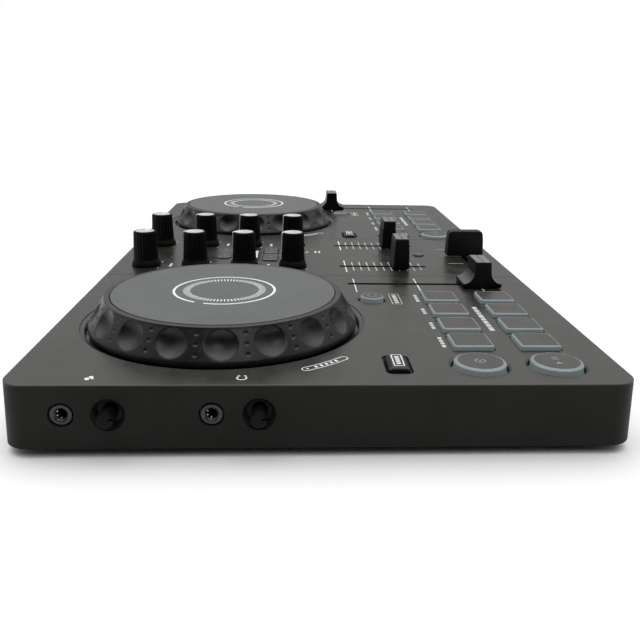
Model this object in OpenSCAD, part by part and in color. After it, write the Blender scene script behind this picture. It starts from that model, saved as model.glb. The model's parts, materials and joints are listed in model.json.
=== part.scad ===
// Two-deck DJ controller: a jog-wheel deck on each side of a two-channel mixer.
// Millimetres. +X is the performer's right, +Y the back and +Z up. The origin is on the surface
// that the feet stand on, under the middle of the whole object.
// Sub-parts are placed from the middle of the case; place() then shifts them all to the origin.

/* [Case] */
// Width of the case at its top face
case_w = 374; // [372:0.5:380]
// Depth of the case, front to back, at its top face
case_d = 208; // [207:0.5:214]
// Height of the case side, from its underside to its top face
case_h = 22; // [21.5:0.5:26]
// Radius of the four upright corners
corner_r = 8; // [5:0.5:12]
// Outward lean of the side walls over their height
draft = 0.6; // [0.2:0.1:1]
// Radius of the rounded top edge
edge_r = 0.8; // [0.4:0.1:1.4]
// Thickness of the side walls and of the top face
wall = 2.2; // [1.8:0.1:2.4]
// Height of the rubber feet below the case
foot_h = 3; // [2:0.5:6]
// Distance from the centre line to each seam between the mixer and a deck
seam_x = 46.5; // [46:0.1:47]

/* [Decks] */
// How far right the right deck lies from the left one; the two are copies
deck_pitch = 228; // [227:0.5:229]
// Jog wheel axis of the left deck, left of the case centre
jog_x = -117.2; // [-118:0.1:-117]
// Jog wheel axis, behind the case centre
jog_y = 38.5; // [38:0.1:40]

/* [Jog wheels] */
// Radius of the flat top plate
jog_plate_r = 44.6; // [43.5:0.1:44.7]
// Radius of the shoulder around the plate
jog_shoulder_r = 47; // [46.8:0.1:48]
// Radius at the lower rim of the flared skirt
jog_rim_r = 54; // [53:0.1:54.2]
// Height of the plate above the case top
jog_h = 12; // [11:0.5:14]
// Radius of the outer line of the dished well
jog_well_r = 56.6; // [56:0.1:57]
// Number of finger dimples around the skirt
jog_dimples = 18; // [12:1:20]
// Radius of each dimple's outline
dimple_r = 6.1; // [4:0.1:6.6]
// Depth of each dimple
dimple_depth = 1.7; // [0.8:0.1:1.9]

/* [Buttons and pads] */
// Side of a square performance pad
pad_w = 15.2; // [14:0.1:16]
// Distance from one pad to the next in a row
pad_pitch_x = 20; // [19.5:0.1:20.2]
// Distance from the back row of pads to the front row
pad_pitch_y = 25.2; // [24:0.1:26]
// Height of the pads and the round buttons above the case top
pad_h = 1.6; // [1.5:0.1:3]
// Radius of the cue and play buttons
play_r = 9.1; // [8.6:0.1:9.4]
// Radius of the sync button
sync_r = 5.2; // [4.5:0.1:5.6]
// Width of the sloping dish around each round button
dish_w = 1.5; // [0.8:0.1:1.6]
// How far every button travels when it is pressed
press = 1; // [0.5:0.1:1]

/* [Knobs] */
// Height of the mixer knobs above the case top
knob_h = 18.3; // [16:0.1:20]
// Radius of a knob at its top
knob_top_r = 5.8; // [5.2:0.1:6]
// Radius of the flange around a knob's foot
knob_foot_r = 7.4; // [7:0.1:8]
// Distance from the centre line to each column of knobs
knob_x = 26; // [25:0.1:27]
// Place of the front row of knobs, behind the case centre
knob_y = 11; // [11:0.1:12]
// Distance from one row of knobs to the next
knob_pitch = 25.6; // [25:0.1:25.6]

/* [Faders] */
// Travel of the tempo faders
tempo_travel = 61; // [50:1:61]
// Travel of the two channel faders
channel_travel = 40; // [30:1:40]
// Travel of the crossfader
cross_travel = 45; // [30:1:45]
// Width of the slots that the faders run in
slot_w = 2.2; // [2:0.1:2.6]
// Height of the flared caps on the tempo faders
tempo_cap_h = 13; // [12:0.5:16]
// Height of the plain caps on the channel faders
channel_cap_h = 16.5; // [14:0.5:18]
// Height of the plain cap on the crossfader
cross_cap_h = 15; // [14:0.5:18]

/* [Side sockets] */
// Radius of the bore of the two 3.5 mm sockets
jack_bore_r = 1.8; // [1.8:0.05:1.9]
// Length of the sockets' bores
jack_bore_l = 14; // [12:0.5:15]
// Depth of the side sockets' axes below the case top
side_drop = 10.1; // [9.5:0.1:10.5]
// How far the two level knobs stand out of the side
side_knob_out = 4.7; // [3:0.1:8]

/* [Hidden] */
$fn = 64;
eps = 0.01;

// Heights
top_z = foot_h + case_h;
under_z = top_z - wall;
cover_t = 2;
board_t = 1.6;
main_board_z = foot_h + cover_t + 2.5;
key_board_z = top_z - 9.5;
shelf_z = top_z - 3.2;
bowl_floor_z = top_z - 11.8;
bowl_r = 20;
gap = 0.3;
float_z = top_z + 0.4;
fader_base_z = top_z - 11;
dish_depth = 0.8;
shift_well_depth = 1.2;

// The whole object reaches further left and back than the case, by its side knobs and sockets
rca_out = 8;
shift_x = (side_knob_out + draft * side_drop / case_h - draft) / 2;
shift_y = -(rca_out - draft) / 2;

// Decks: sides are 0 for the left deck and 1 for the right one, and places are from the jog axis
function deck_x(side) = jog_x + side * deck_pitch;
shift_at = [-51.6, -63.8];
shift_size = [13.3, 7.7];
shift_well = [17.5, 9.2];
shift_h = 1.5;
sync_at = [28.8, -63.3];
cue_at = [-52.4, -92.6];
play_at = [-52.4, -119.8];
pads_at = [-30, -94.3];
tempo_at = [55.3, -88];
function pad_at(i) = [pads_at[0] + (i % 4) * pad_pitch_x, pads_at[1] - floor(i / 4) * pad_pitch_y];

// Lean of the jog skirt from upright, and the dimples cut into it: their middle, as [radius, height],
// and the radius of the sphere that cuts them
skirt_lean = atan2(jog_rim_r - 0.8 - jog_shoulder_r - 0.4, jog_h - 3.3);
dimple_mid = [(jog_rim_r + jog_shoulder_r - 0.4) / 2, (jog_h + 0.7) / 2];
dimple_sphere_r = (dimple_r * dimple_r + dimple_depth * dimple_depth) / (2 * dimple_depth);

// Mixer: places are from the case centre
channel_x = 26;
channel_y = -37;
channel_rest = -9;
cross_y = -86.7;
cross_rest = 0.3;
load_x = 8.3;
load_y = 23.4;
load_size = [13.8, 8];
browse_at = [0.6, 48.8];
browse_size = [22.4, 7.6];
monitor_at = [2, -61];
monitor_r = 3;
mixer_button_h = 0.9;
switch_h = 2;
pot_bushing_r = 3.4;
pot_shaft_r = 3;
pot_size = [11, 9.6];

// Side of the case: places are along Y from the case centre
mic_jack_y = 84.5;
mic_knob_y = 69.7;
phones_jack_y = 36.9;
phones_knob_y = 21.6;
side_z = top_z - side_drop;
jack_nose_r = 3.6;
jack_hole_r = 4.05;
recess_r = 5.4;
recess_floor_r = 4.4;
recess_depth = 4;
side_knob_r = 2.7;
side_shaft_r = 1.5;
side_x = -case_w / 2 - draft * side_drop / case_h;

// Back of the case
usb_x = -150;
usb_size = [9, 3.3];
rca_x = 142;
rca_pitch = 18;
rca_r = 4.1;
lock_x = -172;
usb_z = main_board_z + board_t + usb_size[1] / 2;
rca_z = main_board_z + board_t + 5;

// Screws that hold the cover to the bosses of the top case
screw_places = [[-178, 97], [178, 97], [-178, -98], [178, -98], [-52, 97], [52, 97],
    [-44, -98], [44, -98], [-52, 0], [42, 0]];
boss_r = 3.4;
screw_r = 1.4;
screw_head_r = 2.7;
deck_posts = [[-40.5, -105.5], [43.5, -105.5], [-3, -75], [-55, -78]];
mixer_posts = [[0, 36.5], [0, 88], [-37, 24], [37, 24], [-37, 75], [37, 75]];
board_posts = [[-160, 20], [160, 20], [-70, -60], [70, -60], [-60, 70], [60, 70], [0, -40]];
foot_places = [[-170, 86], [170, 86], [-170, -86], [170, -86], [0, 86], [0, -74]];
foot_r = 8;

// Running clearance between a shaft and its bore
run = 0.05;

module place() {
    translate([shift_x, shift_y, 0]) children();
}

module rounded_square(size, r) {
    square([size[0] - 2 * r, size[1]], center = true);
    square([size[0], size[1] - 2 * r], center = true);
    for (sx = [-1, 1], sy = [-1, 1])
        translate([sx * (size[0] / 2 - r), sy * (size[1] / 2 - r)]) circle(r = r);
}

module slab(size, r, z0, z1) {
    translate([0, 0, z0]) linear_extrude(height = z1 - z0) rounded_square(size, r);
}

// A straight slot with round ends, along X
module slot_hole(length, width, z0, z1) {
    translate([0, 0, z0]) linear_extrude(height = z1 - z0) {
        square([length - width, width], center = true);
        for (s = [-1, 1]) translate([s * (length - width) / 2, 0]) circle(d = width);
    }
}

// Side profile of the case, outwards from a corner's axis: leaning wall and rounded top edge
function edge_profile(r) = concat(
    [[0, foot_h], [r + draft - 1, foot_h], [r + draft, foot_h + 1]],
    [for (a = [0:18:90]) [r - edge_r + edge_r * cos(a), top_z - edge_r + edge_r * sin(a)]],
    [[0, top_z]]);

// The outer form: two crossing drafted bars and four corner cones
module case_form() {
    inner = [case_w / 2 - corner_r, case_d / 2 - corner_r];
    profile = edge_profile(corner_r);
    count = len(profile);
    for (sx = [-1, 1], sy = [-1, 1])
        translate([sx * inner[0], sy * inner[1], 0]) rotate_extrude() polygon(profile);
    rotate([90, 0, 0]) linear_extrude(height = 2 * inner[1], center = true)
        polygon(concat([for (p = profile) [p[0] + inner[0], p[1]]],
            [for (i = [count - 1:-1:0]) [-profile[i][0] - inner[0], profile[i][1]]]));
    rotate([90, 0, 90]) linear_extrude(height = 2 * inner[0], center = true)
        polygon(concat([for (p = profile) [p[0] + inner[1], p[1]]],
            [for (i = [count - 1:-1:0]) [-profile[i][0] - inner[1], profile[i][1]]]));
}

// Holes through the top face for one deck
module deck_holes() {
    translate([0, 0, shelf_z]) cylinder(r = jog_rim_r + 0.6, h = 5, $fn = 128);
    translate([0, 0, bowl_floor_z]) cylinder(r = bowl_r, h = 12);
    translate([0, 0, top_z - 0.8])
        cylinder(r1 = jog_rim_r + 0.6, r2 = jog_well_r, h = 0.8 + eps, $fn = 128);
    translate([shift_at[0], shift_at[1], 0])
        slab([shift_size[0] + 2 * gap, shift_size[1] + 2 * gap], 1.8, under_z - 1, top_z + 1);
    translate([shift_at[0], shift_at[1], 0]) slab(shift_well, 2.2, top_z - shift_well_depth, top_z + 1);
    for (hole = [[sync_at, sync_r], [cue_at, play_r], [play_at, play_r]])
        translate([hole[0][0], hole[0][1], 0]) {
            translate([0, 0, under_z - 1]) cylinder(r = hole[1] + gap, h = wall + 2);
            translate([0, 0, top_z - dish_depth])
                cylinder(r1 = hole[1] + gap, r2 = hole[1] + gap + dish_w, h = dish_depth + eps);
        }
    for (i = [0:7])
        translate([pad_at(i)[0], pad_at(i)[1], 0])
            slab([pad_w + 2 * gap, pad_w + 2 * gap], 1.3, under_z - 1, top_z + 1);
    translate([tempo_at[0], tempo_at[1], 0]) rotate([0, 0, 90])
        slot_hole(tempo_travel + 9, slot_w, under_z - 1, top_z + 1);
}

module mixer_holes() {
    for (s = [-1, 1]) {
        for (row = [0:3])
            translate([s * knob_x, knob_y + row * knob_pitch, under_z - 1])
                cylinder(r = pot_bushing_r + gap, h = wall + 2);
        translate([s * channel_x, channel_y, 0]) rotate([0, 0, 90])
            slot_hole(channel_travel + 7, slot_w, under_z - 1, top_z + 1);
        translate([s * load_x, load_y, 0])
            slab([load_size[0] + 2 * gap, load_size[1] + 2 * gap], 1.8, under_z - 1, top_z + 1);
    }
    translate([0, cross_y, 0]) slot_hole(cross_travel + 7, slot_w, under_z - 1, top_z + 1);
    translate([browse_at[0], browse_at[1], 0])
        slab([browse_size[0] + 2 * gap, browse_size[1] + 2 * gap], 3.4, under_z - 1, top_z + 1);
    translate([monitor_at[0], monitor_at[1], under_z - 1])
        cylinder(r = monitor_r + gap, h = wall + 2);
}

// Holes through the left side and the back
module side_holes() {
    for (y = [mic_jack_y, phones_jack_y])
        translate([side_x - 2, y, side_z]) rotate([0, 90, 0]) cylinder(r = jack_hole_r, h = 6);
    for (y = [mic_knob_y, phones_knob_y])
        translate([side_x, y, side_z]) rotate([0, 90, 0]) {
            translate([0, 0, -1]) cylinder(r = recess_r, h = 1.6);
            translate([0, 0, 0.6 - eps]) cylinder(r1 = recess_r, r2 = recess_floor_r, h = 0.9);
            cylinder(r = recess_floor_r, h = recess_depth);
            cylinder(r = side_shaft_r + 0.4, h = recess_depth + 4);
        }
    translate([usb_x, case_d / 2 + draft, usb_z]) rotate([90, 0, 0])
        linear_extrude(height = 6, center = true)
            rounded_square([usb_size[0] + 2 * gap, usb_size[1] + 2 * gap], 1.7);
    for (s = [-1, 1])
        translate([rca_x + s * rca_pitch / 2, case_d / 2 + 3, rca_z]) rotate([90, 0, 0])
            cylinder(r = rca_r + gap, h = 8);
    translate([lock_x, case_d / 2 + draft, rca_z]) cube([7, 6, 3], center = true);
}

module top_case() place() color([0.17, 0.165, 0.16]) {
    difference() {
        union() {
            difference() {
                case_form();
                slab([case_w - 2 * wall, case_d - 2 * wall], corner_r - wall, foot_h - 1, under_z);
            }
            for (side = [0, 1]) translate([deck_x(side), jog_y, 0]) {
                translate([0, 0, shelf_z - 1.6])
                    cylinder(r = jog_rim_r + 2.2, h = under_z + eps - shelf_z + 1.6, $fn = 128);
                translate([0, 0, bowl_floor_z - 1.8])
                    cylinder(r = bowl_r + 1.8, h = shelf_z - bowl_floor_z + 1);
                for (p = deck_posts)
                    translate([p[0], p[1], key_board_z + board_t])
                        cylinder(r = 1.6, h = under_z + eps - key_board_z - board_t);
            }
            for (p = mixer_posts)
                translate([p[0], p[1], key_board_z + board_t])
                    cylinder(r = 2, h = under_z + eps - key_board_z - board_t);
            for (p = screw_places)
                translate([p[0], p[1], foot_h + cover_t])
                    cylinder(r = boss_r, h = under_z + eps - foot_h - cover_t);
            for (y = [mic_knob_y, phones_knob_y])
                translate([side_x + wall - 0.5, y, side_z]) rotate([0, 90, 0])
                    cylinder(r = recess_floor_r + 1.2, h = recess_depth + 1.2 - wall + 0.5);
        }
        for (side = [0, 1]) translate([deck_x(side), jog_y, 0]) deck_holes();
        mixer_holes();
        side_holes();
        for (p = screw_places)
            translate([p[0], p[1], foot_h]) cylinder(r = screw_r, h = 14);
        for (s = [-1, 1])
            translate([s * seam_x, 0, top_z]) cube([0.3, case_d - 2 * edge_r - 2, 0.5], center = true);
    }
}

module bottom_cover() place() color([0.09, 0.09, 0.09]) {
    inset = wall + gap;
    difference() {
        union() {
            slab([case_w - 2 * inset, case_d - 2 * inset], corner_r - inset, foot_h, foot_h + cover_t);
            for (p = board_posts)
                translate([p[0], p[1], foot_h]) cylinder(r = 3, h = main_board_z - foot_h);
        }
        for (p = screw_places) {
            translate([p[0], p[1], foot_h - 1]) cylinder(r = screw_r + 0.2, h = 5);
            translate([p[0], p[1], foot_h - 1]) cylinder(r = screw_head_r + 0.2, h = 2.1);
        }
        for (p = foot_places)
            translate([p[0], p[1], foot_h - 1]) cylinder(r = foot_r + 0.2, h = 1.5);
        for (i = [-9:9])
            translate([i * 5, 30, 0]) rotate([0, 0, 90]) slot_hole(24, 1.6, foot_h - 1, foot_h + 4);
    }
}

module rubber_feet() place() color([0.05, 0.05, 0.05])
    for (p = foot_places)
        translate([p[0], p[1], 0]) {
            cylinder(r1 = foot_r - 1, r2 = foot_r, h = 1);
            translate([0, 0, 1 - eps]) cylinder(r = foot_r, h = foot_h - 0.5 + eps);
        }

module case_screws() place() color([0.25, 0.25, 0.26])
    for (p = screw_places)
        translate([p[0], p[1], foot_h]) difference() {
            union() {
                translate([0, 0, -0.2 + gap]) cylinder(r = screw_head_r, h = 1);
                cylinder(r = screw_r - 0.1, h = 12);
            }
            for (a = [0, 90])
                rotate([0, 0, a]) cube([3, 0.7, 1.4], center = true);
        }

module main_pcb() place() color([0.1, 0.28, 0.16]) {
    translate([0, 0, main_board_z]) difference() {
        linear_extrude(height = board_t) translate([0, 12.5]) square([338, 175], center = true);
        for (p = screw_places) translate([p[0], p[1], -1]) cylinder(r = boss_r + 0.6, h = 4);
    }
    for (chip = [[0, 40, 10], [-20, -20, 7], [24, -12, 7], [-120, -30, 5], [120, -30, 5]])
        translate([chip[0], chip[1], main_board_z + board_t + 0.5 - eps])
            cube([chip[2], chip[2], 1 + eps], center = true);
}

// Boards under the buttons: one for each deck, two for the mixer and one for the side sockets
module control_boards() place() color([0.1, 0.28, 0.16]) {
    translate([0, 0, key_board_z]) linear_extrude(height = board_t) {
        for (side = [0, 1])
            translate([deck_x(side) - 7.3, jog_y - 97]) difference() {
                square([108, 77], center = true);
                translate([-54, -38.5]) circle(r = 6);
            }
        translate([0, 54]) square([82, 95], center = true);
        translate([monitor_at[0], monitor_at[1]]) square([16, 14], center = true);
    }
    translate([-174.7, 53, side_z - 4.5 - 1.2])
        linear_extrude(height = 1.2) square([13.4, 80], center = true);
}

// A key switch stands on its board under each button
module key_switch() {
    translate([0, 0, key_board_z + board_t + 0.8]) cube([6, 6, 1.6], center = true);
    translate([0, 0, key_board_z + board_t]) cylinder(r = 1.5, h = switch_h);
}

module key_switches() place() color([0.75, 0.75, 0.76]) {
    for (side = [0, 1]) translate([deck_x(side), jog_y, 0]) {
        for (p = [shift_at, sync_at, cue_at, play_at]) translate([p[0], p[1], 0]) key_switch();
        for (i = [0:7]) translate([pad_at(i)[0], pad_at(i)[1], 0]) key_switch();
    }
    for (p = [[-load_x, load_y], [load_x, load_y], browse_at, monitor_at])
        translate([p[0], p[1], 0]) key_switch();
}

module knob_pots() place() color([0.55, 0.56, 0.57]) {
    for (s = [-1, 1], row = [0:3])
        translate([s * knob_x, knob_y + row * knob_pitch, 0]) {
            translate([0, 0, (key_board_z + board_t + under_z - 0.6) / 2])
                cube([pot_size[0], pot_size[1], under_z - 0.6 - key_board_z - board_t], center = true);
            translate([0, 0, under_z - 1]) cylinder(r = pot_bushing_r, h = wall);
            translate([0, 0, under_z - 1]) cylinder(r = pot_shaft_r, h = 13.5);
        }
    for (y = [mic_knob_y, phones_knob_y])
        translate([side_x, y, side_z]) rotate([0, 90, 0]) {
            translate([0, 0, recess_depth + 1.6]) linear_extrude(height = 6) square(9, center = true);
            translate([0, 0, -0.5]) cylinder(r = side_shaft_r, h = recess_depth + 3);
        }
}

// A slide potentiometer along X: a box with an open track for the stem of its cap
module fader_unit(travel, base_z) {
    difference() {
        translate([0, 0, (base_z + under_z - 0.5) / 2])
            cube([travel + 15, 8, under_z - 0.5 - base_z], center = true);
        translate([0, 0, (base_z + 2 + under_z) / 2])
            cube([travel + 6, 2.4, under_z - base_z - 2 + eps], center = true);
    }
}

module fader_units() place() color([0.62, 0.63, 0.64]) {
    for (side = [0, 1])
        translate([deck_x(side) + tempo_at[0], jog_y + tempo_at[1], 0]) rotate([0, 0, 90])
            fader_unit(tempo_travel, fader_base_z);
    for (s = [-1, 1])
        translate([s * channel_x, channel_y, 0]) rotate([0, 0, 90])
            fader_unit(channel_travel, fader_base_z);
    translate([0, cross_y, 0]) fader_unit(cross_travel, fader_base_z);
}

module jog_spindles() place() color([0.7, 0.7, 0.71])
    for (side = [0, 1])
        translate([deck_x(side), jog_y, bowl_floor_z]) {
            cylinder(r = 7, h = 2.4);
            cylinder(r = 4, h = 17);
        }

// A 3.5 mm socket: threaded nose through the side, body behind it, one straight bore
module side_jack() {
    rotate([0, 90, 0]) difference() {
        union() {
            translate([0, 0, 0.3]) cylinder(r = jack_nose_r, h = wall + 1);
            translate([0, 0, wall + 0.8]) linear_extrude(height = 13.6) square([9, 9.6], center = true);
        }
        translate([0, 0, 0.3 - eps]) cylinder(r = jack_bore_r, h = jack_bore_l + eps);
        translate([0, 0, 0.3 - eps]) cylinder(r1 = jack_bore_r + 0.5, r2 = jack_bore_r, h = 0.5);
    }
}

module side_jacks() place() color([0.12, 0.12, 0.12])
    for (y = [mic_jack_y, phones_jack_y]) translate([side_x, y, side_z]) side_jack();

module usb_port() place() color([0.72, 0.72, 0.73])
    translate([usb_x, case_d / 2 + draft / 2 - 0.6, usb_z]) rotate([90, 0, 0]) {
        difference() {
            linear_extrude(height = 8) rounded_square(usb_size, 1.6);
            translate([0, 0, -eps]) linear_extrude(height = 6.5)
                rounded_square([usb_size[0] - 0.7, usb_size[1] - 0.7], 1.25);
        }
        translate([0, 0, 1]) linear_extrude(height = 6) square([6.7, 0.7], center = true);
    }

// Two coaxial output sockets: barrel, collar and centre hole
module rca_sockets() place() color([0.78, 0.62, 0.28])
    for (s = [-1, 1])
        translate([rca_x + s * rca_pitch / 2, case_d / 2 + rca_out, rca_z]) rotate([90, 0, 0])
            difference() {
                union() {
                    cylinder(r = rca_r, h = rca_out + wall + 1);
                    translate([0, 0, rca_out + wall + 1 - eps])
                        linear_extrude(height = 9) square([12, 10], center = true);
                }
                translate([0, 0, -eps]) difference() {
                    cylinder(r = rca_r - 0.5, h = 7);
                    cylinder(r = 3, h = 8);
                }
                translate([0, 0, -eps]) cylinder(r = 1.6, h = 9);
            }

// Jog wheel skirt: a flared, hollow ring with finger dimples and an inner shelf for the plate
module jog_ring(side) place() color([0.06, 0.06, 0.06])
    translate([deck_x(side), jog_y, top_z]) difference() {
        rotate_extrude($fn = 144) polygon([[jog_rim_r - 2.4, -1], [jog_rim_r - 0.5, -1],
            [jog_rim_r, -0.5], [jog_rim_r, 0.3], [jog_rim_r - 0.8, 2], [jog_shoulder_r + 0.4, jog_h - 1.3],
            [jog_shoulder_r, jog_h - 0.6], [jog_shoulder_r - 0.7, jog_h - 0.2],
            [jog_plate_r + 0.2, jog_h - 0.2], [jog_plate_r + 0.2, jog_h - 1.4],
            [jog_plate_r - 5, jog_h - 1.4], [jog_plate_r - 5, jog_h - 3.4],
            [jog_shoulder_r - 3.2, jog_h - 3.4]]);
        for (i = [0:jog_dimples - 1])
            rotate([0, 0, 3.7 + i * 360 / jog_dimples]) translate([dimple_mid[0], 0, dimple_mid[1]])
                rotate([0, 90 - skirt_lean, 0])
                    translate([0, 0, dimple_sphere_r - dimple_depth]) sphere(r = dimple_sphere_r, $fn = 48);
    }

// Jog wheel plate: a thin disc, its hub with a blind bore, and ribs between them
module jog_plate(side) place() color([0.27, 0.275, 0.28])
    translate([deck_x(side), jog_y, top_z]) {
        difference() {
            union() {
                translate([0, 0, jog_h - 1.4]) cylinder(r = jog_plate_r, h = 1.4, $fn = 144);
                translate([0, 0, -9]) cylinder(r = 8, h = jog_h + 8);
                translate([0, 0, jog_h - 3.4]) cylinder(r = jog_plate_r - 6, h = 2.1, $fn = 96);
            }
            translate([0, 0, -9 - eps]) cylinder(r = 4 + run, h = 15);
        }
    }

// The hidden plunger of every button, which stops just above its switch when it is pressed
module plunger() {
    plunger_z = key_board_z + board_t + switch_h + press + 0.1;
    translate([0, 0, plunger_z]) cylinder(r = 1.5, h = under_z - 1.5 - plunger_z);
}

// A square-cornered key with a bevelled top
module square_key(size, r, height, bevel) {
    slab(size, r, under_z - 0.5, top_z + height - bevel);
    hull() {
        slab(size, r, top_z + height - bevel - eps, top_z + height - bevel, $fn = 32);
        slab([size[0] - 2 * bevel, size[1] - 2 * bevel], max(r - bevel, 0.4),
            top_z + height - eps, top_z + height, $fn = 32);
    }
    slab([size[0] + 1.6, size[1] + 1.6], r, under_z - 1.6, under_z - 0.4);
    plunger();
}

module round_key(r, height, bevel) {
    translate([0, 0, under_z - 0.5]) cylinder(r = r, h = wall + 0.5 + height - bevel + eps);
    translate([0, 0, top_z + height - bevel]) cylinder(r1 = r, r2 = r - bevel, h = bevel);
    translate([0, 0, under_z - 1.6]) cylinder(r = r + 0.8, h = 1.2);
    plunger();
}

module on_deck(side, at) place() translate([deck_x(side) + at[0], jog_y + at[1], 0]) children();

module shift_button(side) on_deck(side, shift_at) color([0.05, 0.05, 0.05])
    square_key(shift_size, 1.5, shift_h, 0.4);

module sync_button(side) on_deck(side, sync_at) color([0.6, 0.64, 0.67]) round_key(sync_r, pad_h, 0.5);

module cue_button(side) on_deck(side, cue_at) color([0.5, 0.53, 0.56]) round_key(play_r, pad_h, 0.9);

module play_button(side) on_deck(side, play_at) color([0.5, 0.53, 0.56]) round_key(play_r, pad_h, 0.9);

// Pads 1 to 4 are the back row and 5 to 8 the front row, from the left
module pad(side, i) on_deck(side, pad_at(i)) color([0.47, 0.5, 0.52])
    square_key([pad_w, pad_w], 1, pad_h, 0.7);

module load_button(s) place() translate([s * load_x, load_y, 0]) color([0.47, 0.5, 0.52])
    square_key(load_size, 1.5, mixer_button_h, 0.4);

module browse_button() place() translate([browse_at[0], browse_at[1], 0]) color([0.47, 0.5, 0.52])
    square_key(browse_size, 3.1, mixer_button_h, 0.4);

module monitor_button() place() translate([monitor_at[0], monitor_at[1], 0])
    color([0.47, 0.5, 0.52]) round_key(monitor_r, mixer_button_h, 0.4);

// Stem of a fader cap: a thin blade down through the slot into the fader's track
module fader_stem() {
    translate([0, 0, (fader_base_z + 3 + float_z + 1) / 2])
        cube([4, 1.2, float_z + 1 - fader_base_z - 3], center = true);
}

// Cap with a thin fin and a concave flare each way along its travel, which is X
module flared_cap(width) {
    half = 9.4;
    fin = 3.8;
    tip_z = float_z + 2;
    rise = 6;
    function curve(s) = [for (a = [0:15:90])
        [s * (half - (half - fin - 0.3) * sin(a)), tip_z + rise * (1 - cos(a))]];
    right = curve(1);
    left = curve(-1);
    count = len(left);
    rotate([90, 0, 0]) linear_extrude(height = width, center = true)
        polygon(concat([[-half + 0.6, float_z], [half - 0.6, float_z], [half, float_z + 0.6]], right,
            [[fin, top_z + tempo_cap_h - 0.5], [fin - 0.5, top_z + tempo_cap_h],
             [-fin + 0.5, top_z + tempo_cap_h], [-fin, top_z + tempo_cap_h - 0.5]],
            [for (i = [count - 1:-1:0]) left[i]], [[-half, float_z + 0.6]]));
    fader_stem();
}

// Cap with straight, slightly leaning faces; its travel is X
module plain_cap(width, height) {
    hull() {
        slab([8.6, width], 1.2, float_z, float_z + 0.1, $fn = 32);
        slab([7.4, width - 1], 0.9, top_z + height - 0.8, top_z + height - 0.7, $fn = 32);
        slab([6.4, width - 2.2], 0.6, top_z + height - 0.1, top_z + height, $fn = 32);
    }
    fader_stem();
}

module tempo_cap(side, rest) on_deck(side, [tempo_at[0], tempo_at[1] + rest]) rotate([0, 0, 90])
    color([0.05, 0.05, 0.05]) flared_cap(17);

module channel_cap(s) place() translate([s * channel_x, channel_y + channel_rest, 0])
    rotate([0, 0, 90]) color([0.05, 0.05, 0.05]) plain_cap(17, channel_cap_h);

module crossfader_cap() place() translate([cross_rest, cross_y, 0])
    color([0.05, 0.05, 0.05]) plain_cap(20.6, cross_cap_h);

// Rotary knob: a tapered body on a flange, with a blind bore for the potentiometer's shaft.
// The pointers face the back, apart from the last row, which is turned up.
module knob(s, row) place() translate([s * knob_x, knob_y + row * knob_pitch, 0])
    rotate([0, 0, row == 3 ? -15 : 90]) color([0.05, 0.05, 0.05]) difference() {
        rotate_extrude() polygon([[0, float_z], [knob_foot_r, float_z], [knob_foot_r, float_z + 0.7],
            [knob_top_r + 0.9, float_z + 2.6], [knob_top_r + 0.4, float_z + 3.4],
            [knob_top_r, top_z + knob_h - 0.7], [knob_top_r - 0.6, top_z + knob_h], [0, top_z + knob_h]]);
        translate([0, 0, float_z - eps]) cylinder(r = pot_shaft_r + run, h = 11);
        translate([0, 0, float_z - eps]) cylinder(r = pot_bushing_r + 0.4, h = 1);
        translate([knob_top_r - 0.2, 0, top_z + knob_h / 2 + 2]) cube([0.6, 1, knob_h], center = true);
    }

// Small level knob on the left side, turning about X
module level_knob(y) place() translate([side_x, y, side_z]) color([0.07, 0.07, 0.07])
    rotate([0, 90, 0]) difference() {
        union() {
            translate([0, 0, -side_knob_out]) cylinder(r1 = side_knob_r - 0.3, r2 = side_knob_r, h = 0.3);
            translate([0, 0, -side_knob_out + 0.3 - eps])
                cylinder(r = side_knob_r, h = side_knob_out + recess_depth - 0.6);
        }
        translate([0, 0, -1]) cylinder(r = side_shaft_r + run, h = recess_depth + 2);
        rotate([0, 0, 15]) translate([0, 1 - side_knob_r, -side_knob_out])
            cube([0.6, 2.4, 1.2], center = true);
    }

top_case();
bottom_cover();
rubber_feet();
case_screws();
main_pcb();
control_boards();
key_switches();
knob_pots();
fader_units();
jog_spindles();
side_jacks();
usb_port();
rca_sockets();
jog_ring(0);  // jog_ring_left
jog_ring(1);  // jog_ring_right
jog_plate(0);  // jog_plate_left
jog_plate(1);  // jog_plate_right
shift_button(0);  // shift_button_left
shift_button(1);  // shift_button_right
sync_button(0);  // sync_button_left
sync_button(1);  // sync_button_right
cue_button(0);  // cue_button_left
cue_button(1);  // cue_button_right
play_button(0);  // play_button_left
play_button(1);  // play_button_right
for (i = [0:7]) {
    pad(0, i);
    pad(1, i);
}
load_button(-1);  // load_button_left
load_button(1);  // load_button_right
browse_button();
monitor_button();
tempo_cap(0, -tempo_travel / 2);  // tempo_cap_left
tempo_cap(1, tempo_travel / 2);  // tempo_cap_right
channel_cap(-1);  // channel_cap_left
channel_cap(1);  // channel_cap_right
crossfader_cap();
for (row = [0:3]) {
    knob(-1, row);
    knob(1, row);
}
level_knob(mic_knob_y);  // mic_level_knob
level_knob(phones_knob_y);  // phones_level_knob
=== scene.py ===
import json
import math

import bmesh
import bpy
from mathutils import Matrix, Vector
from mathutils.geometry import delaunay_2d_cdt

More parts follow.
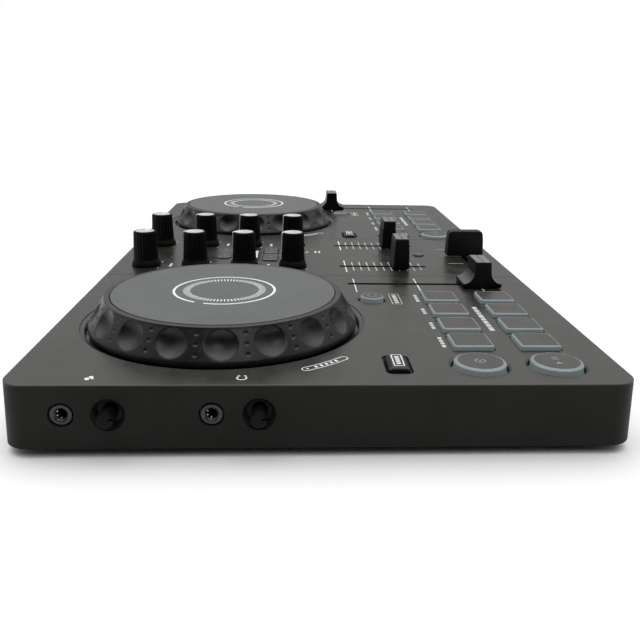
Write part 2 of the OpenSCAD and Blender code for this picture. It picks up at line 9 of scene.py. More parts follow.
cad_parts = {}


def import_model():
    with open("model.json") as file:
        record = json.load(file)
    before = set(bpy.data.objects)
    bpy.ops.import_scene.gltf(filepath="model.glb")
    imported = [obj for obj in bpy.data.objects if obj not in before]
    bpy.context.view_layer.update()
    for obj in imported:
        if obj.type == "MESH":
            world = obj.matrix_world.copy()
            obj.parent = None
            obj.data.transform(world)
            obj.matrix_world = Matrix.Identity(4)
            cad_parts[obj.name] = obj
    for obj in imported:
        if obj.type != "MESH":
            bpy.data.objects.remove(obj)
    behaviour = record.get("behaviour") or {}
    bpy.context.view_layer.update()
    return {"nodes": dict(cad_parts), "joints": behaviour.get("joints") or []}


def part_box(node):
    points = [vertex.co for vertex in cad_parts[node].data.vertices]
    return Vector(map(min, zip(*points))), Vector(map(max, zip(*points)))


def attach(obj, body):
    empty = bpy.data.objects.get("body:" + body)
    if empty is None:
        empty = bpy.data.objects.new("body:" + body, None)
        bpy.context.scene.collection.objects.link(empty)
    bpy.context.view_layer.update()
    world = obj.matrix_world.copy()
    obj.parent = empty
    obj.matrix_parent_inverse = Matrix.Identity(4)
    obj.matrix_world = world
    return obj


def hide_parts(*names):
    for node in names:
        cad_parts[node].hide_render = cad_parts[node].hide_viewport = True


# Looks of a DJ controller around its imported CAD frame. Lengths are in millimetres and turned into
# metres by MM. Pieces are built from the middle of the case or from the node that they stand for.

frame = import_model()

MM = 0.001
SIDES = ("left", "right")


def node_box(node):
    low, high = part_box(node)
    return low / MM, high / MM


def middle(node):
    low, high = node_box(node)
    return (low + high) / 2


def size(node):
    low, high = node_box(node)
    return high - low


def key_size(node):
    """Width and depth of a key without its flange."""
    across = size(node)
    return across.x - 2 * FLANGE, across.y - 2 * FLANGE


case_low, case_high = node_box("top_case")
mid_x = (case_low.x + case_high.x) / 2
mid_y = (case_low.y + case_high.y) / 2
top_z = case_high.z
base_z = case_low.z


def spot(node):
    """The middle of a node on the deck, from the middle of the case."""
    at = middle(node)
    return at.x - mid_x, at.y - mid_y


# The case: how far its walls lean out, their thickness, and the radii of its top edge, its corners
# and its lower edge
DRAFT = 0.6
WALL = 2.2
EDGE_R = 0.45
CORNER_R = 8
FOOT_ROUND = 0.4
case_w = case_high.x - case_low.x - 2 * DRAFT
case_d = case_high.y - case_low.y - 2 * DRAFT
under_z = top_z - WALL

# The play round a key, its hidden flange, and how far ink stands out and is let into the deck or a key
GAP = 0.3
FLANGE = 0.8
PRINT, PRINT_SUNK, KEY_SUNK = 0.03, 0.1, 0.2


# ---- outlines

def circle(r, count=64, x=0.0, y=0.0):
    turns = [2 * math.pi * i / count for i in range(count)]
    return [(x + r * math.cos(a), y + r * math.sin(a)) for a in turns]


def rounded(w, d, r, x=0.0, y=0.0, steps=6):
    """A rectangle with round corners; each corner has steps + 1 points."""
    points = []
    for quarter, (sx, sy) in enumerate(((1, 1), (-1, 1), (-1, -1), (1, -1))):
        for i in range(steps + 1):
            a = math.pi / 2 * (quarter + i / steps)
            points.append((x + sx * (w / 2 - r) + r * math.cos(a), y + sy * (d / 2 - r) + r * math.sin(a)))
    return points


def growing(w, d, r, x=0.0, y=0.0, steps=6):
    """A rectangle with round corners, as a function of how far it is grown."""
    return lambda grow: rounded(w + 2 * grow, d + 2 * grow, r + grow, x, y, steps)


def as_circle(outline, r):
    """A circle with one point towards each point of the outline."""
    return [(r * x / math.hypot(x, y), r * y / math.hypot(x, y)) for x, y in outline]


def lift(outline, z):
    return [(x, y, z) for x, y in outline]


def ray(r, degrees):
    """The point at a distance and an angle from the origin."""
    return r * math.cos(math.radians(degrees)), r * math.sin(math.radians(degrees))


def arc_band(r0, r1, a0, a1, steps):
    """The outline of a piece of a ring, angles in degrees."""
    angles = [a0 + (a1 - a0) * i / steps for i in range(steps + 1)]
    return [ray(r1, a) for a in angles] + [ray(r0, a) for a in reversed(angles)]


def shift(outline, x, y):
    return [(x + u, y + v) for u, v in outline]


def turn(outline, degrees, x=0.0, y=0.0):
    c, s = ray(1, degrees)
    return [(x + c * u - s * v, y + s * u + c * v) for u, v in outline]


def bar(w, d, x=0.0, y=0.0):
    return [(x - w / 2, y - d / 2), (x + w / 2, y - d / 2), (x + w / 2, y + d / 2), (x - w / 2, y + d / 2)]


# ---- meshes

# Points of a sheet that are closer than this are one point
SAME_POINT = 1e-5


def added(name, data):
    """A new object in the scene."""
    made = bpy.data.objects.new(name, data)
    bpy.context.scene.collection.objects.link(made)
    return made


class Form:
    """A mesh put together from loops of points, in millimetres from its own place."""

    def __init__(self, x=0.0, y=0.0, z=0.0):
        self.mesh = bmesh.new()
        self.at = Vector((x, y, z))
        self.paint = 0

    def loop(self, points):
        return [self.mesh.verts.new((self.at + Vector(p)) * MM) for p in points]

    def face(self, verts):
        made = self.mesh.faces.new(verts)
        made.material_index = self.paint
        return made

    def band(self, a, b, skip=()):
        for i in range(len(a)):
            if i not in skip:
                j = (i + 1) % len(a)
                self.face((a[i], a[j], b[j], b[i]))

    def stack(self, loops):
        for a, b in zip(loops, loops[1:]):
            self.band(a, b)

    def sheet(self, *loops):
        """A flat face inside the first loop, with the others, none of them hollow, as holes."""
        verts = [vert for loop in loops for vert in loop]
        owner = [i for i, loop in enumerate(loops) for _ in loop]
        spans = [max(v.co[k] for v in loops[0]) - min(v.co[k] for v in loops[0]) for k in range(3)]
        a, b = sorted(range(3), key=lambda k: -spans[k])[:2]
        edges, start = [], 0
        for loop in loops:
            count = len(loop)
            edges += [(start + i, start + (i + 1) % count) for i in range(count)]
            start += count
        flat = [Vector((vert.co[a], vert.co[b])) / MM for vert in verts]
        _, _, faces, sources, _, _ = delaunay_2d_cdt(flat, edges, [], 1, SAME_POINT)
        for corners in faces:
            ids = [sources[i][0] for i in corners]
            owners = {owner[i] for i in ids}
            if owners == {0} or len(owners) > 1:
                self.face([verts[i] for i in ids])

    def close(self, made, last_paint=None):
        """A closed body through loops that are made, whose last face may have a paint of its own."""
        self.stack(made)
        self.face(made[0])
        last = self.face(made[-1])
        if last_paint is not None:
            last.material_index = last_paint

    def solid(self, loops):
        """A closed body through loops of points, with a flat face at each end."""
        self.close([self.loop(points) for points in loops])

    def prism(self, outline, z0, z1):
        self.solid([lift(outline, z0), lift(outline, z1)])

    def ink(self, outline, z=0.0, sunk=PRINT_SUNK):
        self.prism(outline, z - sunk, z + PRINT)

    def frame(self, outer, inner, z0, z1):
        """A closed ring between two outlines with as many points."""
        loops = [lift(outer, z0), lift(outer, z1), lift(inner, z1), lift(inner, z0)]
        made = [self.loop(points) for points in loops]
        self.stack(made + made[:1])

    def turned(self, profile, count=64, shape=None, closed=False):
        """A body of revolution about Z from (radius, height) points, which shape may press in."""
        loops = []
        for r, z in profile:
            points = []
            for i in range(count):
                a = 2 * math.pi * i / count
                near, up = shape(r, z, a) if shape else (r, z)
                points.append((near * math.cos(a), near * math.sin(a), up))
            loops.append(self.loop(points))
        if closed:
            self.stack(loops + loops[:1])
        else:
            self.close(loops)

    def piece(self, name, body, materials, nodes=(), slot=None, sharp=32, turned_by=None):
        bmesh.ops.recalc_face_normals(self.mesh, faces=self.mesh.faces)
        for face in self.mesh.faces:
            face.smooth = True
        if turned_by is not None:
            bmesh.ops.transform(self.mesh, matrix=turned_by, verts=self.mesh.verts)
        data = bpy.data.meshes.new(name)
        self.mesh.to_mesh(data)
        self.mesh.free()
        for item in materials:
            data.materials.append(item)
        data.set_sharp_from_angle(angle=math.radians(sharp))
        made = added(name, data)
        weighted = made.modifiers.new("weighted", "WEIGHTED_NORMAL")
        weighted.keep_sharp = True
        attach(made, body)
        if nodes:
            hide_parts(*nodes)
        return made


# ---- materials

ROUGH_VARY = 0.06
CLOUD_LOW, CLOUD_HIGH = 0.3, 0.7
SPECK_EDGE = 0.05


def put(node, **values):
    """Sets sockets by their names, with _ for a space."""
    for socket, value in values.items():
        node.inputs[socket.replace("_", " ")].default_value = value
    return node


def surface(name, colour, rough, vary=0.12, blotch=18, grain=0.3, depth=0.01, dust=None, **sockets):
    """A moulded, painted or metal surface: cloudy tone, uneven gloss, fine grain and dust specks.
    Lengths are in millimetres: blotch and grain across, and depth from low to high. Dust is how much
    of the surface has specks, how wide they are, and their colour."""
    made = bpy.data.materials.new(name)
    made.use_nodes = True
    nodes, link = made.node_tree.nodes, made.node_tree.links.new
    shader = nodes["Principled BSDF"]
    place = nodes.new("ShaderNodeTexCoord")

    def noise(across, detail):
        node = put(nodes.new("ShaderNodeTexNoise"), Scale=1 / (across * MM), Detail=detail)
        link(place.outputs["Object"], node.inputs["Vector"])
        return node.outputs["Fac"]

    tone = nodes.new("ShaderNodeValToRGB")
    for end, at, bright in zip(tone.color_ramp.elements, (CLOUD_LOW, CLOUD_HIGH), (1 - vary, 1 + vary)):
        end.position = at
        end.color = (*[c * bright for c in colour], 1)
    link(noise(blotch, 4.0), tone.inputs["Fac"])
    colour_out = tone.outputs["Color"]
    if dust:
        share, across, speck_colour = dust
        specks = nodes.new("ShaderNodeValToRGB")
        specks.color_ramp.elements[0].position = 1 - share
        specks.color_ramp.elements[1].position = min(1.0, 1 - share + SPECK_EDGE)
        link(noise(across, 1.0), specks.inputs["Fac"])
        mix = nodes.new("ShaderNodeMix")
        mix.data_type = "RGBA"
        put(mix, B=(*speck_colour, 1))
        link(specks.outputs["Color"], mix.inputs["Factor"])
        link(colour_out, mix.inputs["A"])
        colour_out = mix.outputs["Result"]
    link(colour_out, shader.inputs["Base Color"])

    gloss = put(nodes.new("ShaderNodeMapRange"), From_Min=CLOUD_LOW, From_Max=CLOUD_HIGH,
                To_Min=rough - ROUGH_VARY, To_Max=rough + ROUGH_VARY)
    link(noise(blotch / 3, 3.0), gloss.inputs["Value"])
    link(gloss.outputs["Result"], shader.inputs["Roughness"])

    bump = put(nodes.new("ShaderNodeBump"), Distance=depth * MM, Strength=1.0)
    link(noise(grain, 2.0), bump.inputs["Height"])
    link(bump.outputs["Normal"], shader.inputs["Normal"])
    put(shader, **sockets)
    return made


# Each line: name, colour, roughness, then how far its tone varies, blotches, grain and depth
deck_finish = surface("deck_satin", (0.0145, 0.0142, 0.0115), 0.29, 0.1, 35, 0.22, 0.004,
                      (0.27, 0.5, (0.045, 0.045, 0.042)))
side_finish = surface("case_texture", (0.0062, 0.0062, 0.005), 0.55, 0.16, 45, 0.35, 0.02,
                      Specular_IOR_Level=0.2)
inside_finish = surface("case_inside", (0.006, 0.006, 0.006), 0.7, grain=0.5)
jog_skirt = surface("jog_skirt", (0.003, 0.0034, 0.0034), 0.33, 0.2, 9, 0.34, 0.035,
                    (0.3, 0.32, (0.04, 0.043, 0.044)), Specular_IOR_Level=0.42)
jog_top = surface("jog_plate_satin", (0.066, 0.073, 0.07), 0.42, 0.06, 30, 0.16, 0.004,
                  (0.26, 0.25, (0.1, 0.105, 0.105)))
print_white = surface("white_print", (0.72, 0.75, 0.73), 0.5, 0.06, 3, 0.1, 0.003)
# Pale print on the deck; the same paint makes the pale disc on each knob's top, a painted highlight
light_print_and_painted_knob_highlight = surface("light_print_and_painted_highlight", (0.46, 0.48, 0.46), 0.45, 0.08, 3, 0.1, 0.003)
print_grey = surface("grey_print", (0.14, 0.143, 0.13), 0.45, 0.08, 3, 0.1, 0.003)
knob_black = surface("knob_rubber", (0.0022, 0.0024, 0.0023), 0.5, 0.25, 4, 0.14, 0.008,
                     (0.26, 0.3, (0.012, 0.012, 0.012)), Specular_IOR_Level=0.12)
cap_black = surface("cap_plastic", (0.003, 0.0037, 0.004), 0.42, 0.2, 6, 0.2, 0.01,
                    (0.27, 0.3, (0.02, 0.021, 0.021)), Specular_IOR_Level=0.2)
# A lighter copy of the cap plastic for the hollow flares of the tempo caps: painted sheen where light from
# above falls on them
painted_sheen_cap = surface("flare_painted_sheen", (0.05, 0.048, 0.05), 0.4, 0.25, 5, 0.2)
key_black = surface("key_black", (0.005, 0.005, 0.005), 0.4, 0.2, 5, 0.15, 0.008)
# Silicone of the pads and round keys; its faint bluish emission is painted glow, standing in for light from
# above that comes out through the sides
pad_rim_painted_glow = surface("pad_silicone", (0.12, 0.135, 0.14), 0.4, 0.12, 6, 0.3, 0.006, Subsurface_Weight=0.5,
                   Subsurface_Scale=0.003, Subsurface_Radius=(1, 1, 1), Emission_Strength=0.1,
                   Emission_Color=(0.78, 0.95, 1.0, 1))
mixer_key = surface("mixer_key_silicone", (0.09, 0.095, 0.095), 0.4, 0.1, 5, 0.3, 0.006,
                    Subsurface_Weight=0.3, Subsurface_Scale=0.002, Subsurface_Radius=(1, 1, 1))
pad_top = surface("pad_top_film", (0.031, 0.029, 0.025), 0.42, 0.1, 12, 0.18, 0.008,
                  (0.25, 0.3, (0.07, 0.07, 0.065)))
icon_grey = surface("button_icon", (0.19, 0.19, 0.18), 0.5, grain=0.15)
rubber = surface("foot_rubber", (0.012, 0.012, 0.012), 0.8, 0.2, 5, 0.25, 0.03)
cover_finish = surface("cover_texture", (0.013, 0.013, 0.0125), 0.62, 0.12, 30, 0.5, 0.05)
steel = surface("steel", (0.52, 0.52, 0.53), 0.32, 0.1, 4, 0.1, 0.004, Metallic=1.0)
screw_black = surface("screw_black", (0.05, 0.05, 0.052), 0.35, 0.12, 2, 0.1, 0.004, Metallic=1.0)
board_green = surface("board_green", (0.012, 0.07, 0.03), 0.35, 0.2, 6, 0.4)
component = surface("component_black", (0.02, 0.02, 0.021), 0.5, grain=0.2)
jack_black = surface("jack_black", (0.016, 0.017, 0.017), 0.3, 0.15, 2, 0.12, 0.005)
brass = surface("brass", (0.66, 0.48, 0.2), 0.25, 0.1, 3, 0.1, 0.003, Metallic=1.0)
output_white = surface("output_white", (0.55, 0.55, 0.54), 0.4, 0.12, 3, 0.2)
output_red = surface("output_red", (0.42, 0.02, 0.02), 0.4, 0.12, 3, 0.2)


# ---- camera

# From the left end of the case, above and a little behind the middle, looking to its right end
CAMERA_AT = (-402.3, 11.1, 91.6)
CAMERA_YAW, CAMERA_PITCH, CAMERA_ROLL = -0.0599, 0.2864, -0.0213
SENSOR = 36
CAMERA_LENS = 40.84
CAMERA_SHIFT = (-0.0222, -0.0297)
CAMERA_CLIP = (0.01, 50)


def make_camera():
    forward = Vector((math.cos(CAMERA_PITCH) * math.cos(CAMERA_YAW),
                      math.cos(CAMERA_PITCH) * math.sin(CAMERA_YAW), -math.sin(CAMERA_PITCH)))
    level = forward.cross(Vector((0, 0, 1))).normalized()
    down = forward.cross(level)
    right = math.cos(CAMERA_ROLL) * level + math.sin(CAMERA_ROLL) * down
    up = math.sin(CAMERA_ROLL) * level - math.cos(CAMERA_ROLL) * down
    data = bpy.data.cameras.new("camera")
    data.sensor_width = SENSOR
    data.lens = CAMERA_LENS
    data.shift_x, data.shift_y = CAMERA_SHIFT
    data.clip_start, data.clip_end = CAMERA_CLIP
    made = added("camera", data)
    turned = Matrix((right, up, -forward)).transposed().to_4x4()
    turned.translation = Vector((mid_x + CAMERA_AT[0], mid_y + CAMERA_AT[1], top_z + CAMERA_AT[2])) * MM
    made.matrix_world = turned
    bpy.context.scene.camera = made


# ---- case

# The materials of the upper shell, as its piece lists them
DECK, SIDE, INSIDE = 0, 1, 2


def grow_at(z):
    """How far the leaning wall stands out at a height."""
    low, high = base_z + FOOT_ROUND, top_z - EDGE_R
    return DRAFT * (high - z) / (high - low)


CORNER_STEPS = 10
case_outline = growing(case_w, case_d, CORNER_R, steps=CORNER_STEPS)


def on_left(y, z, depth):
    return -case_w / 2 - grow_at(z) + depth, y, z


def on_back(x, z, depth):
    return x, case_d / 2 + grow_at(z) - depth, z


def on_top(x, y, depth):
    return x, y, top_z - depth


def well(form, place, rings):
    """Loops from the surface inwards, each an outline and its depth."""
    loops = [form.loop([place(u, v, depth) for u, v in outline]) for outline, depth in rings]
    form.stack(loops)
    return loops


# Radius of the corners of the square keys, by the start of their names
KEY_CORNERS = {"pad": 1.4, "shi": 1.5, "loa": 1.5, "bro": 3.1}


def key_outline(node, x=0.0, y=0.0, corner=None):
    """The outline of a button around a point, as a function of how far it is grown."""
    w, d = key_size(node)
    if node.startswith(("cue", "play", "sync", "monitor")):
        return lambda grow: circle(w / 2 + grow, 72, x, y)
    return growing(w, d, KEY_CORNERS[node[:3]] if corner is None else corner, x, y)


def joint_middle(node):
    """Where the middle of a fader's travel lies, how long it is, and whether it runs along Y."""
    joint = next(j for j in frame["joints"] if j["child"] == node)
    low, high = (value / MM for value in joint["range_m"])
    axis = Vector(joint["axis"])
    x, y = spot(node)
    reach = (low + high) / 2
    return x + axis.x * reach, y + axis.y * reach, high - low, abs(axis.y) > 0.5


PADS = [f"pad_{side}_{i}" for side in SIDES for i in range(1, 9)]
ROUND_KEYS = [f"{kind}_button_{side}" for kind in ("sync", "cue", "play") for side in SIDES]
SHIFT_KEYS = [f"shift_button_{side}" for side in SIDES]
MIXER_KEYS = ["load_button_left", "load_button_right", "browse_button", "monitor_button"]
KNOBS = [f"knob_{side}_{row}" for side in SIDES for row in range(1, 5)]
FADERS = ["tempo_cap_left", "tempo_cap_right", "channel_cap_left", "channel_cap_right", "crossfader_cap"]
SLOT_W, SLOT_SPARE = 3.1, 7
SHAFT_HOLE_R = 3.7
SEAM_X, SEAM_W, SEAM_DEPTH = 46.5, 0.32, 0.3
LIP_R = 0.22
DISH_W, DISH_DEPTH = 1.5, 0.8
SHIFT_WELL, SHIFT_WELL_DEPTH = (17.5, 9.2, 2.2), 1.2
SHIFT_WELL_RINGS = ((0.3, 0), (0.12, 0.06), (0, 0.25), (0, SHIFT_WELL_DEPTH - 0.2), (-0.2, SHIFT_WELL_DEPTH))


def slot_outline(node):
    x, y, travel, along_y = joint_middle(node)
    length = travel + SLOT_SPARE
    w, d = (SLOT_W, length) if along_y else (length, SLOT_W)
    return growing(w, d, SLOT_W / 2 - 0.05, x, y)


def soft_hole(outline):
    """Rings of a plain hole with a rounded lip."""
    return [(outline(GAP + LIP_R * (1 - math.sin(a))), LIP_R * (1 - math.cos(a)))
            for a in (0, math.pi / 6, math.pi / 3, math.pi / 2)]


def top_openings(form):
    """Every opening of the top face: the loops that lie in the face, and those in its underside."""
    upper, lower = [], []

    def through(rings, last):
        loops = well(form, on_top, rings)
        form.paint = INSIDE
        deep = well(form, on_top, [(last, WALL)])
        form.band(loops[-1], deep[0])
        form.paint = DECK
        upper.append(loops[0])
        lower.append(deep[0])

    for node in PADS + MIXER_KEYS:
        outline = key_outline(node, *spot(node), corner=0.0 if node in PADS else None)
        through(soft_hole(outline), outline(GAP))
    for node in ROUND_KEYS:
        outline = key_outline(node, *spot(node))
        through([(outline(GAP + DISH_W + 0.1), 0), (outline(GAP + DISH_W), 0.08),
                 (outline(GAP + 0.62), DISH_DEPTH * 0.7), (outline(GAP + 0.52), DISH_DEPTH)],
                outline(GAP + 0.52))
    for node in SHIFT_KEYS:
        outline, dish = key_outline(node, *spot(node)), growing(*SHIFT_WELL, *spot(node))
        rings = [(dish(grow), depth) for grow, depth in SHIFT_WELL_RINGS]
        through(rings + [(outline(GAP), SHIFT_WELL_DEPTH)], outline(GAP))
    for node in FADERS:
        outline = slot_outline(node)
        through([(outline(0.1), 0), (outline(0.03), 0.03), (outline(0), 0.12)], outline(0))
    for node in KNOBS:
        hole = circle(SHAFT_HOLE_R, 32, *spot(node))
        through([(circle(SHAFT_HOLE_R + 0.2, 32, *spot(node)), 0), (hole, 0.2)], hole)
    return upper, lower


# The jog wheels' wells: radii of the mouth and of the wall below it, depth of the shelf, and the bowl
# round the spindle; SHELL is how thick the plastic is there
WELL_R, WALL_R = 56.6, 54.8
SHELF = 3.2
BOWL_R, BOWL_DEPTH = 20, 11.8
SHELL = 1.8


def jog_wells(form):
    """The dished wells that the jog wheels turn in, closed below."""
    seen = shift(((0.12, 0), (0.02, 0.04), (-0.05, 0.14), (-0.12, 0.42), (-0.25, 0.48)), WELL_R, 0)
    seen += [(WALL_R + 0.12, 0.88), (WALL_R, 1.0), (WALL_R, SHELF - 0.3), (WALL_R - 0.3, SHELF),
             (BOWL_R + 0.3, SHELF), (BOWL_R, SHELF + 0.3), (BOWL_R, BOWL_DEPTH)]
    below = [(WELL_R - 0.4, WALL), (WELL_R - 0.4, SHELF + 1.6), (BOWL_R + SHELL, SHELF + 1.6),
             (BOWL_R + SHELL, BOWL_DEPTH + SHELL)]
    upper, lower = [], []
    for side in SIDES:
        x, y = spot(f"jog_plate_{side}")
        for paint, rings, count, mouths in ((DECK, seen, 144, upper), (INSIDE, below, 96, lower)):
            form.paint = paint
            loops = well(form, on_top, [(circle(r, count, x, y), depth) for r, depth in rings])
            form.face(loops[-1])
            mouths.append(loops[0])
    form.paint = DECK
    return upper, lower


# Where the side's sockets are along Y, and the rings of their holes and of the level knobs' recesses
JACKS = {"mic": 84.5, "phones": 36.9}
JACK_R, RECESS_R, BOSS_R = 4.05, 4.4, 5.6
JACK_RINGS = ((4.35, 0), (4.2, 0.06), (JACK_R, 0.3))
RECESS_RINGS = ((5.65, 0), (5.45, 0.08), (5.35, 0.55), (5.1, 0.7), (4.6, 1.25), (RECESS_R, 1.5))
RECESS_DEPTH, BOSS_DEPTH = 4.0, 5.2


def left_openings(form):
    """Socket holes and knob recesses of the left wall: loops in the outer and in the inner face."""
    outer, inner = [], []
    inner_x = -case_w / 2 + WALL

    def mouth(rings, count, y, z):
        form.paint = SIDE
        loops = well(form, on_left, [(circle(r, count, y, z), depth) for r, depth in rings])
        form.paint = INSIDE
        outer.append(loops[0])
        return loops[-1]

    for kind, hole in JACKS.items():
        knob = f"{kind}_level_knob"
        y, z = spot(knob)[1], middle(knob).z
        edge = mouth(JACK_RINGS, 48, hole, z)
        inner.append(form.loop([(inner_x, u, v) for u, v in circle(JACK_R, 48, hole, z)]))
        form.band(edge, inner[-1])
        edge = mouth(RECESS_RINGS, 56, y, z)
        deep = form.loop([on_left(u, v, RECESS_DEPTH) for u, v in circle(RECESS_R, 56, y, z)])
        form.band(edge, deep)
        form.face(deep)
        boss = [form.loop([(x, u, v) for u, v in circle(BOSS_R, 56, y, z)])
                for x in (inner_x, -case_w / 2 + BOSS_DEPTH)]
        form.stack(boss)
        form.face(boss[-1])
        inner.append(boss[0])
    form.paint = SIDE
    return outer, inner


RCA_PITCH = 18
RCA_HOLE_R = 4.4
USB_HOLE, LOCK_HOLE = (9.6, 3.9, 1.9), (7, 3, 0.5)
LOCK_X = -172
BACK_RINGS = ((0.35, 0), (0.1, 0.1), (0, 0.35))


def back_openings(form):
    """Openings of the back wall, for the data socket, the two outputs and a cable lock."""
    outer, inner = [], []
    usb_x, rca_x = spot("usb_port")[0], spot("rca_sockets")[0]
    usb_z, rca_z = middle("usb_port").z, middle("rca_sockets").z
    inner_y = case_d / 2 - WALL

    def barrel(x):
        return lambda grow: circle(RCA_HOLE_R + grow, 48, x, rca_z)

    shapes = [growing(*USB_HOLE, usb_x, usb_z), barrel(rca_x - RCA_PITCH / 2),
              barrel(rca_x + RCA_PITCH / 2), growing(*LOCK_HOLE, LOCK_X, rca_z)]
    for shape in shapes:
        loops = well(form, on_back, [(shape(grow), depth) for grow, depth in BACK_RINGS])
        form.paint = INSIDE
        back = form.loop([(u, inner_y, v) for u, v in shape(0)])
        form.band(loops[-1], back)
        form.paint = SIDE
        outer.append(loops[0])
        inner.append(back)
    return outer, inner


def seam_parts():
    """The two joint lines beside the mixer, broken where a button's dish cuts them."""
    parts = []
    reach = case_d / 2 - EDGE_R - 1
    for s in (-1, 1):
        cuts = [-reach]
        for node in sorted(ROUND_KEYS, key=lambda name: middle(name).y):
            x, y = spot(node)
            r = key_size(node)[0] / 2 + GAP + DISH_W + 0.3
            off = abs(x - s * SEAM_X) - SEAM_W
            if off < r:
                half = math.sqrt(r * r - off * off)
                cuts += [y - half, y + half]
        cuts.append(reach)
        parts += [(s * SEAM_X, (a + b) / 2, b - a) for a, b in zip(cuts[::2], cuts[1::2])]
    return parts


def walls(form, low, high, left_holes, back_holes):
    """The walls between two loops, with holes in the left one and in the back one."""
    back, left = CORNER_STEPS, 2 * CORNER_STEPS + 1
    form.band(low, high, skip=(back, left))
    for side, holes in ((left, left_holes), (back, back_holes)):
        form.sheet([low[side], low[side + 1], high[side + 1], high[side]], *holes)


def top_case():
    """The upper shell: leaning walls, rounded top edge, open below, with all its openings."""
    form = Form(mid_x, mid_y)
    form.paint = SIDE
    foot = []
    for a in (90, 67.5, 45, 22.5, 0):
        x, z = ray(FOOT_ROUND, a)
        foot.append(form.loop(lift(case_outline(DRAFT - FOOT_ROUND + x), base_z + FOOT_ROUND - z)))
    form.stack(foot)
    edge = []
    for a in (0, 15, 30, 45, 60, 75, 90):
        x, z = ray(EDGE_R, a)
        edge.append(form.loop(lift(case_outline(x - EDGE_R), top_z - EDGE_R + z)))
    outer_left, inner_left = left_openings(form)
    outer_back, inner_back = back_openings(form)
    walls(form, foot[-1], edge[0], outer_left, outer_back)
    form.paint = DECK
    form.stack(edge)

    upper, lower = top_openings(form)
    wells_upper, wells_lower = jog_wells(form)
    for x, y, length in seam_parts():
        rings = [(bar(SEAM_W + 0.1, length, x, y), 0), (bar(SEAM_W, length - 0.1, x, y), 0.06),
                 (bar(SEAM_W - 0.05, length - 0.2, x, y), SEAM_DEPTH)]
        seam = well(form, on_top, rings)
        form.face(seam[-1])
        upper.append(seam[0])
    form.sheet(edge[-1], *upper, *wells_upper)

    form.paint = INSIDE
    inside = [form.loop(lift(case_outline(-WALL), z)) for z in (base_z, under_z)]
    form.band(foot[0], inside[0])
    walls(form, inside[0], inside[1], inner_left, inner_back)
    form.sheet(inside[1], *lower, *wells_lower)
    form.piece("top_case_shell", "case", [deck_finish, side_finish, inside_finish], ["top_case"],
               "case_plastic", sharp=40)


# ---- jog wheels

def heights(node):
    """How far above the deck a node's foot and its top are."""
    low, high = node_box(node)
    return low.z - top_z, high.z - top_z


def over_deck(node):
    """A form on the deck at a node's middle, and the heights of the node's foot and top."""
    at = middle(node)
    return Form(at.x, at.y, top_z), *heights(node)


def stood(node, degrees):
    """The move from the origin to the deck at a node's middle, turned about Z."""
    at = middle(node)
    turned = Matrix.Rotation(math.radians(degrees), 4, "Z")
    return Matrix.Translation(Vector((at.x, at.y, top_z)) * MM) @ turned


JOG_DIMPLES = 18
DIMPLE_COLUMNS, SKIRT_ROWS = 44, 34
DIMPLE_PHASE = 3.7
DIMPLE_ACROSS, DIMPLE_UP = 5.85, 5.45
DIMPLE_DEPTH = 1.75
PIT_STEP, PIT_R, PIT_DEPTH = 3.8, 0.5, 0.45
SOFT = 0.06


def jog_ring(side):
    """The flared skirt, pressed in by round dimples, with three small pits between each two."""
    node = f"jog_ring_{side}"
    form, _, top = over_deck(node)
    rim = size(node).x / 2 - 0.4
    plate_r = size(f"jog_plate_{side}").x / 2
    shoulder = plate_r + 2.4
    foot, head = Vector((rim - 0.6, 1.8)), Vector((shoulder + 0.25, top - 0.7))
    slope = (head - foot).normalized()
    out = Vector((slope.y, -slope.x))
    centre = (foot + head) / 2
    skirt = [foot + (head - foot) * i / SKIRT_ROWS for i in range(SKIRT_ROWS + 1)]
    profile = shift(((-2.4, -1), (-0.7, -1), (-0.25, -0.88), (-0.04, -0.6), (0, -0.2), (0, 0.5),
                     (-0.12, 0.95), (-0.35, 1.4)), rim, 0)
    profile += [(p.x, p.y) for p in skirt]
    profile += shift(((0.15, -0.42), (0.02, -0.2), (-0.16, -0.05), (-0.38, 0)), shoulder, top)
    profile += shift(((0.5, 0), (0.3, -0.05), (0.2, -0.25), (0.2, -1.2), (-5, -1.2), (-5, -3.2)),
                     plate_r, top)
    profile.append((shoulder - 3.2, top - 3.2))
    pitch = 2 * math.pi / JOG_DIMPLES

    def press(r, z, a):
        turn_from = (a - math.radians(DIMPLE_PHASE)) % pitch
        across = r * (turn_from - pitch / 2)
        from_dimple = r * min(turn_from, pitch - turn_from)
        offset = Vector((r, z)) - centre
        up, proud = offset.dot(slope), offset.dot(out)
        if abs(up) > 7.5 or proud < -1.6:
            return r, z
        hollow = proud + DIMPLE_DEPTH * (1 - (from_dimple / DIMPLE_ACROSS) ** 2 - (up / DIMPLE_UP) ** 2)
        deep = (hollow + math.hypot(hollow, SOFT)) / 2
        for k in (-1, 0, 1):
            near = math.hypot(across, up - k * PIT_STEP) / PIT_R
            if near < 2:
                deep += PIT_DEPTH * math.exp(-near * near * near)
        return r - deep * out.x, z - deep * out.y

    form.turned(profile, JOG_DIMPLES * DIMPLE_COLUMNS, press, closed=True)
    form.piece(f"jog_skirt_{side}", f"jog_{side}", [jog_skirt], [node], "jog_black", sharp=50)


RING_R, RING_W = 20.15, 1.0
RING_GAP = (150.5, 161.5)
TICKS, TICK_R0, TICK_R1, TICK_W = 72, 13.8, 16.6, 0.5


